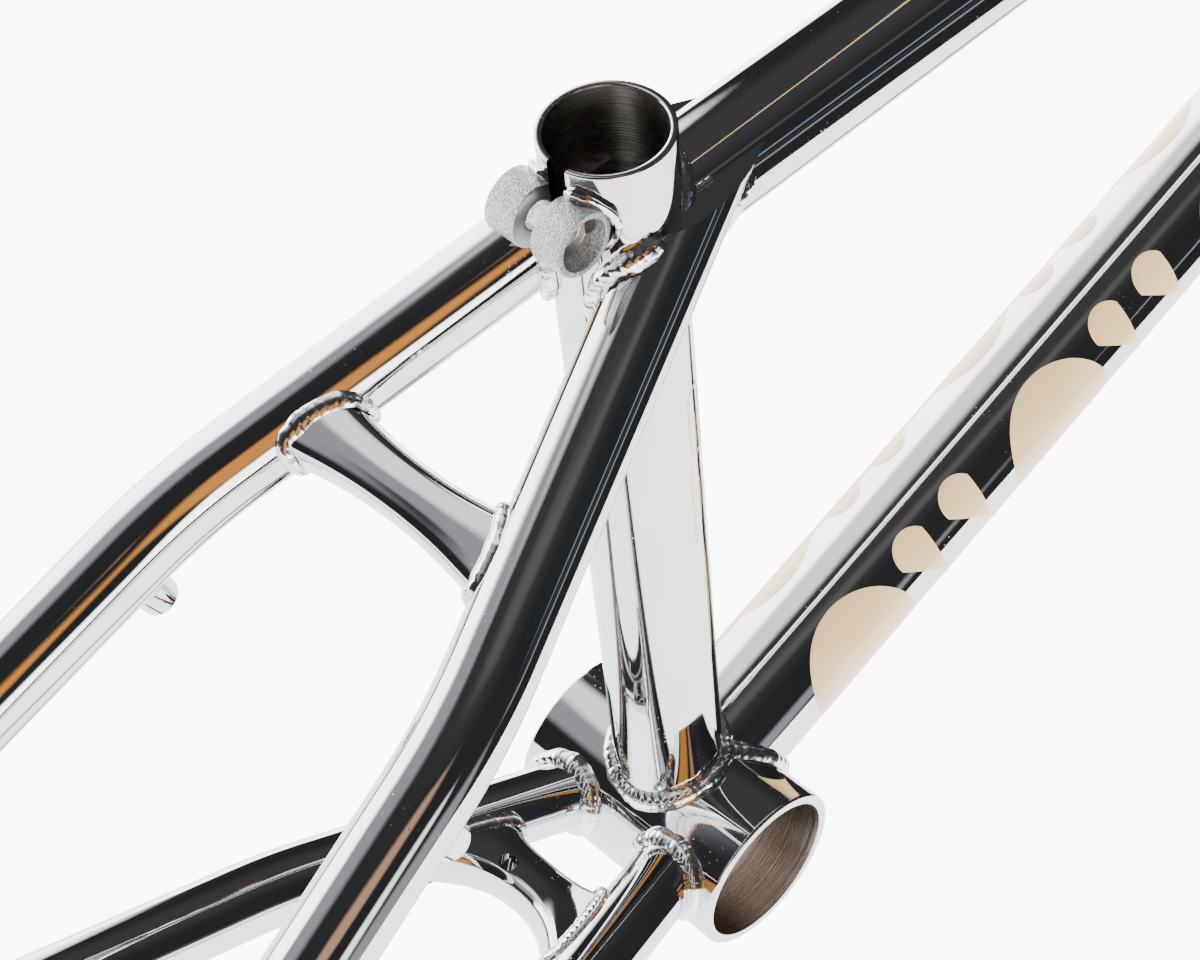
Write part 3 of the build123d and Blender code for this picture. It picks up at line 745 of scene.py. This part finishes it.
side_reach = np.sqrt(TOP_RADIUS ** 2 - top_plane ** 2)
FLAT_BEAD_SHARE = 0.55                          # how much of the flat's length its thin bead runs along
for side, sign in SIDES.items():
    edge, edge_normals, which = stay_ends[side]
    run = open_runs(which == 0)[-1]
    weld_bead(f"bead_seatstay_seat_{side}", edge[run], edge_normals[run], outward(edge[run], SEAT),
              closed=False, stands_for=[f"weld_seatstay_seat_{side}"])
    on_top = edge.copy()
    flat = which == 2
    along_top = (edge - top_rear) @ TOP_ALONG
    on_top[flat] = (top_rear + along_top[flat, None] * TOP_ALONG
                    + top_plane * TOP_UP + sign * side_reach * ACROSS)
    shown = flat & (sign * edge[:, 1] > side_reach)
    run = open_runs(shown)[-1]
    facet = np.array([edge[run] * (1 - share) + on_top[run] * share for share in (0, 0.5, 1)])
    piece = skin(f"seatstay_{side}_facet", facet.transpose(1, 0, 2), chrome, closed=False)
    first_normals = edge_normals.copy()
    first_normals[flat] = TOP_UP
    # this bead thins out and stops well short of the stay's tip
    rear, front = along_top[shown].min(), along_top[shown].max()
    run = open_runs(shown & (along_top < rear + FLAT_BEAD_SHARE * (front - rear)))[-1]
    weld_bead(f"bead_seatstay_flat_{side}", on_top[run], first_normals[run], outward(on_top[run], TOP),
              closed=False, leg=1.1, pitch=1.8)
    run = open_runs(which == 1)[-1]
    weld_bead(f"bead_seatstay_top_{side}", on_top[run], first_normals[run], outward(on_top[run], TOP),
              closed=False, leg=3.0, stands_for=[f"weld_seatstay_top_{side}"])

# the seat tube's foot on the shell
dirs = ring_dirs(SEAT_UP, 144)
foot = dirs * SEAT_RADIUS
edge = foot + SEAT_UP * line_hits(foot, SEAT_UP, SHELL)[1][:, None]
weld_bead("bead_seat_shell", edge, dirs, outward(edge, SHELL), stands_for=["weld_seat_shell"])

# -------------------- bridges
# sections from the middle out: share of the half width, width, height, shift to the back
SEATSTAY_BRIDGE = ((0, 12.4, 10.5, 0), (0.42, 14, 11.5, 0), (0.78, 17.5, 12.6, 0), (1, 18, 12.8, 0))
CHAINSTAY_BRIDGE = ((0, 14, 11, 0), (0.4, 17, 11.5, 0.8), (0.74, 27.5, 12.5, 2), (1, 33, 12.8, 2.6))


def even_fit(table, column):
    """A smooth even curve through the four sections of a bridge."""
    shares = np.array([row[0] for row in table], float)
    powers = np.array([shares ** 0, shares ** 2, shares ** 4, shares ** 6]).T
    weights = np.linalg.solve(powers, [row[column] for row in table])
    return lambda share: sum(weight * share ** (2 * k) for k, weight in enumerate(weights))


def rounded_box(width, height, corner, steps=7, side_steps=5, bulge=0.55):
    """Points and outward normals round a rectangle with round corners, its sides bulging in the middle."""
    points, normals = [], []
    inset = np.array([width / 2 - corner, height / 2 - corner])
    centres = [inset * signs for signs in ((1, 1), (-1, 1), (-1, -1), (1, -1))]
    for k, centre in enumerate(centres):
        for turn in np.linspace(k * pi / 2, (k + 1) * pi / 2, steps):
            way = np.array([np.cos(turn), np.sin(turn)])
            points.append(centre + corner * way)
            normals.append(way)
        far = centres[(k + 1) % 4] + corner * way
        for share in np.linspace(0, 1, side_steps + 2)[1:-1]:
            crown = bulge * 4 * share * (1 - share)
            points.append((centre + corner * way) * (1 - share) + far * share + way * crown)
            normals.append(way)
    return np.array(points), np.array(normals)


def nearest_on_axis(points, axis):
    """Nearest points on a polyline."""
    starts, steps = axis[:-1], np.diff(axis, axis=0)
    lengths = (steps * steps).sum(1)
    share = np.clip(((points[:, None] - starts) * steps).sum(2) / lengths, 0, 1)
    feet = starts + share[..., None] * steps
    gaps = np.linalg.norm(points[:, None] - feet, axis=2)
    best = gaps.argmin(1)
    pick = np.arange(len(points))
    return feet[pick, best], gaps[pick, best]


def bridge(kind, corners, place, table):
    """A waisted cross piece between two stays, and its two beads."""
    middle, _ = along_stay(corners, place)
    stay = corners[-1] - corners[0]
    back = unit(np.array([stay[0], 0.0, stay[2]]))
    lift = np.cross(ACROSS, back)
    width, height, shift = (even_fit(table, column) for column in (1, 2, 3))
    axis = bent_axis(corners, step=1.5)

    def ring(share):
        size = abs(share)
        flat, normals = rounded_box(width(size), height(size), height(size) * 0.3)
        origin = np.array([middle[0], middle[1] * share, middle[2]]) + back * shift(size)
        return origin + flat[:, :1] * back + flat[:, 1:] * lift, normals[:, :1] * back + normals[:, 1:] * lift

    shares = np.linspace(-0.96, 0.96, 61)
    made = [ring(share) for share in shares]
    piece = skin(f"{kind}_bridge_body", [points for points, _ in made], chrome)
    stand_in(f"{kind}_bridge")
    out = np.linspace(0.45, 1.0, 120)
    rings = [ring(share) for share in out]
    for side in SIDES:
        stacked = np.array([points for points, _ in rings])
        gaps = np.array([nearest_on_axis(points, axis)[1] for points in stacked])
        hit = (gaps < STAY_RADIUS).argmax(0)
        pick = np.arange(stacked.shape[1])
        before = np.maximum(hit - 1, 0)
        far_gap, near_gap = gaps[before, pick], gaps[hit, pick]
        share = ((far_gap - STAY_RADIUS) / np.maximum(far_gap - near_gap, 1e-6))[:, None]
        curve = stacked[before, pick] * (1 - share) + stacked[hit, pick] * share
        own = rings[0][1]
        feet, _ = nearest_on_axis(curve, axis)
        weld_bead(f"bead_{kind}_bridge_{side}", mirrored(curve, side), mirrored(own, side),
                  mirrored(unit(curve - feet), side), leg=2.3, stands_for=[f"weld_{kind}_bridge_{side}"])
    return piece, middle


bridge("seatstay", seatstay_corners, SEATSTAY_BRIDGE_PLACE, SEATSTAY_BRIDGE)
low_bridge, low_middle = bridge("chainstay", chainstay_corners, CHAINSTAY_BRIDGE_PLACE, CHAINSTAY_BRIDGE)
vent_place = np.array([low_middle[0] - VENT_BEHIND, VENT_OFF_CENTRE, low_middle[2]])
dig(low_bridge, bar("vent_cutter", vent_place, UPRIGHT, VENT_RADIUS, *VENT_SPAN, count=40))
low_bridge.data.set_sharp_from_angle(angle=np.radians(50))

# -------------------- clamp ears
ear_gap = CLAMP_GAP / 2
ear_out = float(ear_middle @ SEAT_BACK)
ear_up = float(ear_middle @ SEAT_UP)
face = ear_gap + EAR_LENGTH
ear_profile = rounded([
    (CLAMP_BOLT_RADIUS, ear_gap + 1.0), (CLAMP_BOLT_RADIUS, ear_gap), (EAR_RADIUS, ear_gap),
    (EAR_RADIUS, face), (CLAMP_HEAD_RADIUS, face), (CLAMP_HEAD_RADIUS, face - CLAMP_HEAD_DEPTH),
    (CLAMP_BOLT_RADIUS, face - CLAMP_HEAD_DEPTH), (CLAMP_BOLT_RADIUS, ear_gap + 1.0)], 0.3, 4)
for side, sign in SIDES.items():
    way = ACROSS * sign
    ear = lathe(f"ear_{side}_barrel", ear_middle, way, ear_profile, satin, 96)
    dig(ear, bar("ear_cutter", ORIGIN, SEAT_UP, SEAT_RADIUS - 0.05, ear_up - 20, ear_up + 20))
    ear.data.set_sharp_from_angle(angle=np.radians(SHARP_ANGLE))
    paint_bore(ear, EAR_BORE_METAL, ear_middle, ACROSS, CLAMP_HEAD_RADIUS - 0.02)
    stand_in(f"clamp_ear_{side}")
    level = np.linspace(0, 1, 40)
    reach = np.sqrt(SEAT_RADIUS ** 2 - (ear_out - EAR_RADIUS) ** 2)
    y_half = ear_gap + (reach - ear_gap) * np.sin(level * pi / 2)
    depth = np.sqrt(SEAT_RADIUS ** 2 - y_half ** 2)
    turn = np.arccos(np.clip((depth - ear_out) / EAR_RADIUS, -1, 1))
    y_all, turns = np.r_[y_half, y_half[-2::-1]], np.r_[turn, 2 * pi - turn[-2::-1]]
    own = np.cos(turns)[:, None] * SEAT_BACK + np.sin(turns)[:, None] * SEAT_UP
    curve = ear_middle + own * EAR_RADIUS + y_all[:, None] * way
    weld_bead(f"bead_ear_{side}", curve, own, outward(curve, SEAT), closed=False, leg=2.4,
              stands_for=[f"weld_clamp_ear_{side}"])

# -------------------- brake bosses
boss_middle, boss_run = along_stay(seatstay_corners, BOSS_PLACE)
boss_way = unit(np.array([-boss_run[2], 0.0, boss_run[0]]))
if boss_way[0] < 0:
    boss_way = -boss_way
boss_top = STAY_RADIUS + BOSS_HEIGHT
BOSS_SINK, BOSS_LEAD_IN, HALF_TURN = 4.0, 0.8, 0.5
boss_profile = rounded([
    (BOSS_RADIUS, STAY_RADIUS - BOSS_SINK), (BOSS_RADIUS, boss_top), (BOSS_THREAD_RADIUS + 0.5, boss_top),
    (BOSS_THREAD_RADIUS, boss_top - 0.6)], 0.35, 4)
for k in range(int(BOSS_THREAD_DEPTH / HALF_TURN)):
    groove = 0.28 if k % 2 else -0.05
    boss_profile.append((BOSS_THREAD_RADIUS + groove, boss_top - BOSS_LEAD_IN - k * HALF_TURN))
boss_profile.append((0.05, boss_top - BOSS_THREAD_DEPTH - 1.2))
for side in SIDES:
    foot, run = mirrored(boss_middle, side), mirrored(boss_run, side)
    boss = lathe(f"boss_{side}", foot, boss_way, boss_profile, chrome, 64)
    stand_in(f"brake_boss_{side}")
    dirs = ring_dirs(boss_way, 96)
    base = foot + dirs * BOSS_RADIUS
    stay = (foot, unit(run), STAY_RADIUS)
    far = base + boss_way * 30
    edge = far - boss_way * line_hits(far, -boss_way, stay)[0][:, None]
    weld_bead(f"bead_boss_{side}", edge, dirs, outward(edge, stay), leg=1.7, pitch=1.5,
              stands_for=[f"weld_brake_boss_{side}"])

# -------------------- dropouts, and their beads on the stays' ends
plate_chrome = plate_material()
for name, node in frame["nodes"].items():
    if name.startswith("dropout_"):
        for kept in node.material_slots:
            kept.material = plate_chrome
for side in SIDES:
    for kind, corners in (("seatstay", seatstay_corners), ("chainstay", chainstay_corners)):
        head = unit(corners[-1] - corners[-2])
        wide = np.cross(head, ACROSS)
        flat, flat_normals = rounded_box(TONGUE_WIDTH, DROPOUT_THICKNESS, 1.6, side_steps=9, bulge=0.0)
        curve = corners[-1] + flat[:, :1] * wide + flat[:, 1:] * ACROSS
        own = flat_normals[:, :1] * wide + flat_normals[:, 1:] * ACROSS
        weld_bead(f"bead_dropout_{kind}_{side}", mirrored(curve, side), mirrored(own, side),
                  mirrored(np.broadcast_to(head, own.shape), side), leg=2.3, pitch=2.0,
                  stands_for=[f"weld_dropout_{kind}_{side}"])

# -------------------- vinyl decals: plain generic shapes
FILM_LIFT, FILM_ROWS = 0.06, 20
FILM_START, FILM_PITCH, FILM_GROUPS = 62.0, 85.0, 4


def on_tube(tube, up, along, arc, lift):
    """Points on a tube: along its axis, and round it by an arc length from its upper line to the right."""
    centre, axis, radius = tube
    turn = np.asarray(arc) / radius
    way = np.cos(turn)[:, None] * up - np.sin(turn)[:, None] * ACROSS
    return centre + np.asarray(along)[:, None] * axis + way * (radius + lift), way


def decal(name, tube, up, outline, hole=None):
    """A filled shape of film, or the band between two outlines, laid round a tube."""
    outline = np.asarray(outline, float)
    if hole is None:
        hole = np.repeat(outline.mean(0)[None], len(outline), 0) * 0.999 + outline * 0.001
    inner = np.asarray(hole)
    rows, normals = [], []
    # film lies just clear of the tube, and its rim turns down into it
    lifts = (*(FILM_LIFT,) * FILM_ROWS, 0.05, -0.03)
    steps = (*np.linspace(0, 0.99, FILM_ROWS), 1.0, 1.0)
    for share, lift in zip(steps, lifts):
        flat = inner * (1 - share) + outline * share
        points, way = on_tube(tube, up, flat[:, 0], flat[:, 1], lift)
        rows.append(points)
        normals.append(way)
    piece = skin(name, np.array(rows), vinyl, np.array(normals))
    return piece


def stadium(along, arc, length, width, lean, count=48):
    """Outline of a capsule leaning by an angle in degrees from straight round the tube."""
    turn = np.linspace(0, FULL_TURN, count, endpoint=False)
    half = (length - width) / 2
    x, y = np.cos(turn) * width / 2, np.sin(turn) * width / 2 + np.sign(np.sin(turn) + 1e-9) * half
    lean = np.radians(lean)
    return np.array([along + x * np.cos(lean) + y * np.sin(lean),
                     arc - x * np.sin(lean) + y * np.cos(lean)]).T


quarter = DOWN_RADIUS * pi / 2
for side, sign in SIDES.items():
    for k in range(FILM_GROUPS):
        place = FILM_START + FILM_PITCH * k
        decal(f"film_{side}_disc_{k}", DOWN, DOWN_UP, stadium(place, -sign * quarter, 40.0, 39.9, 0, 72))
        for j in range(2):
            capsule = stadium(place + 33.0 + 19.5 * j, -sign * quarter, 40.0, 13.5, -sign * 20)
            decal(f"film_{side}_bar_{k}_{j}", DOWN, DOWN_UP, capsule)

outer, inner = stadium(160.0, 28.6, 22.0, 6.4, 90), stadium(160.0, 28.6, 20.4, 4.8, 90)
decal("film_seat_loop", SEAT, SEAT_BACK, outer, inner)
decal("film_seat_line", SEAT, SEAT_BACK, stadium(133.0, 25.2, 27.0, 0.9, 90))

# -------------------- world, floor and light
def build_world():
    """White to the camera; in reflections a dark room with white panels, strip lights and a warm low glow."""
    world = bpy.data.worlds.new("studio")
    bpy.context.scene.world = world
    world.use_nodes = True
    tree = world.node_tree
    tree.nodes.clear()
    link = tree.links.new

    def add(kind, **settings):
        node = tree.nodes.new(kind)
        for key, value in settings.items():
            setattr(node, key, value)
        return node

    def maths(operation, *values):
        node = add("ShaderNodeMath", operation=operation)
        for socket, value in zip(node.inputs, values):
            if isinstance(value, (int, float)):
                socket.default_value = value
            else:
                link(value, socket)
        return node.outputs[0]

    place = add("ShaderNodeTexCoord").outputs["Generated"]
    split = add("ShaderNodeSeparateXYZ")
    link(place, split.inputs[0])
    x, y, z = split.outputs
    azimuth = maths("MULTIPLY", maths("ARCTAN2", y, x), 180 / pi)
    elevation = maths("MULTIPLY", maths("ARCSINE", z), 180 / pi)

    def edge(value, low, high):
        node = add("ShaderNodeMapRange", interpolation_type="SMOOTHSTEP")
        link(value, node.inputs["Value"])
        node.inputs["From Min"].default_value, node.inputs["From Max"].default_value = low, high
        return node.outputs["Result"]

    def patch(az0, az1, el0, el1, soft_az=6.0, soft_el=5.0):
        """1 inside a box of directions, in degrees, fading at its edges."""
        across = maths("MULTIPLY", edge(azimuth, az0 - soft_az / 2, az0 + soft_az / 2),
                       edge(azimuth, az1 + soft_az / 2, az1 - soft_az / 2))
        upright = maths("MULTIPLY", edge(elevation, el0 - soft_el / 2, el0 + soft_el / 2),
                        edge(elevation, el1 + soft_el / 2, el1 - soft_el / 2))
        return maths("MULTIPLY", across, upright)

    colour = add("ShaderNodeRGB").outputs[0]
    colour.default_value = (0.034, 0.035, 0.038, 1)
    for box, tone in LIGHTS:
        mix = add("ShaderNodeMix", data_type="RGBA")
        link(patch(*box), mix.inputs["Factor"])
        link(colour, mix.inputs["A"])
        mix.inputs["B"].default_value = (*tone, 1)
        colour = mix.outputs["Result"]
    ray = add("ShaderNodeLightPath").outputs["Is Camera Ray"]
    seen = add("ShaderNodeMix", data_type="RGBA")
    link(ray, seen.inputs["Factor"])
    link(colour, seen.inputs["A"])
    seen.inputs["B"].default_value = (8, 8, 8, 1)
    background = add("ShaderNodeBackground")
    link(seen.outputs["Result"], background.inputs["Color"])
    link(background.outputs[0], add("ShaderNodeOutputWorld").inputs["Surface"])


PANEL, WHITE, PALE = (7.0, 7.0, 7.1), (3.0, 3.0, 3.0), (1.9, 1.94, 2.0)
GREY, DIM = (0.5, 0.51, 0.54), (0.11, 0.11, 0.115)
WARM, AMBER, GOLD, BLUE = (0.85, 0.50, 0.32), (1.25, 0.50, 0.10), (2.2, 1.6, 0.8), (0.35, 0.5, 0.7)
# (azimuth from, to, elevation from, to, softness of each) and colour, later ones over earlier ones
LIGHTS = [
    ((-400, 400, 50, 95, 6, 30), (0.07, 0.07, 0.072)),
    ((-400, 400, -95, -20, 6, 8), WHITE),
    ((30, 66, -40, 7, 8, 5), PANEL),
    ((62, 128, -40, 46, 5, 14), PANEL),
    ((84, 142, 36, 64, 24, 12), PALE),
    ((118, 156, 22, 46, 20, 10), GREY),
    ((-127, -96, -40, 2, 8, 6), PANEL),
    ((-104, -94, -10, 18, 6, 6), WHITE),
    ((-92, -70, -40, 4, 6, 8), GREY),
    ((-152, -128, -4, 25, 8, 8), AMBER),
    ((-150, -122, 33, 42, 10, 4), WARM),
    ((-78, -8, 66.9, 67.7, 16, 0.4), GOLD),
    ((-66, -48, 14.5, 16.5, 6, 1), BLUE),
    ((-66, -46, 9, 10, 6, 0.6), DIM),
    ((-66, -44, 3, 5.5, 6, 1.5), GREY),
    ((-64, -50, 36, 40, 6, 2), DIM),
    ((-170, -90, 56, 64, 40, 7), (0.16, 0.155, 0.15)),
    ((150, 195, 76, 90, 20, 3), GREY),
]
build_world()

floor_material = Nodes("pale_floor")
floor_tone = floor_material.ramp(
    floor_material.noise(3.0), [(0.3, (0.90, 0.90, 0.90)), (0.7, (0.93, 0.93, 0.93))])
floor_material.link(floor_tone, floor_material.shader.inputs["Base Color"])
floor_material.link(floor_tone, floor_material.shader.inputs["Emission Color"])
straight = floor_material.add("ShaderNodeLightPath").outputs["Is Camera Ray"]
floor_material.link(floor_material.maths("ADD", floor_material.maths("MULTIPLY", straight, 6.5), 2.4),
                    floor_material.shader.inputs["Emission Strength"])
floor_material.shader.inputs["Roughness"].default_value = 0.9
floor_ring = ring_dirs(UPRIGHT, 96) * FLOOR_RADIUS + np.array([50.0, 0.0, FLOOR])
floor = plain_object("floor", floor_ring, [tuple(range(96))])
floor.data.materials.append(floor_material.material)


def soft_light(name, place, size, watts):
    """A large square lamp aimed at the middle of the frame, unseen in reflections."""
    data = bpy.data.lights.new(name, "AREA")
    data.size, data.energy = size, watts
    lamp = bpy.data.objects.new(name, data)
    bpy.context.scene.collection.objects.link(lamp)
    lamp.visible_glossy = False
    lamp.location = place
    aim = Vector((0.0, 0.0, 0.12)) - Vector(place)
    lamp.rotation_euler = aim.to_track_quat("-Z", "Y").to_euler()


soft_light("overhead", (0.2, 0.2, 2.4), 2.6, 55)
soft_light("left_panel", (0.3, 2.0, 1.0), 1.8, 30)
soft_light("right_panel", (0.5, -2.0, 0.8), 1.8, 60)
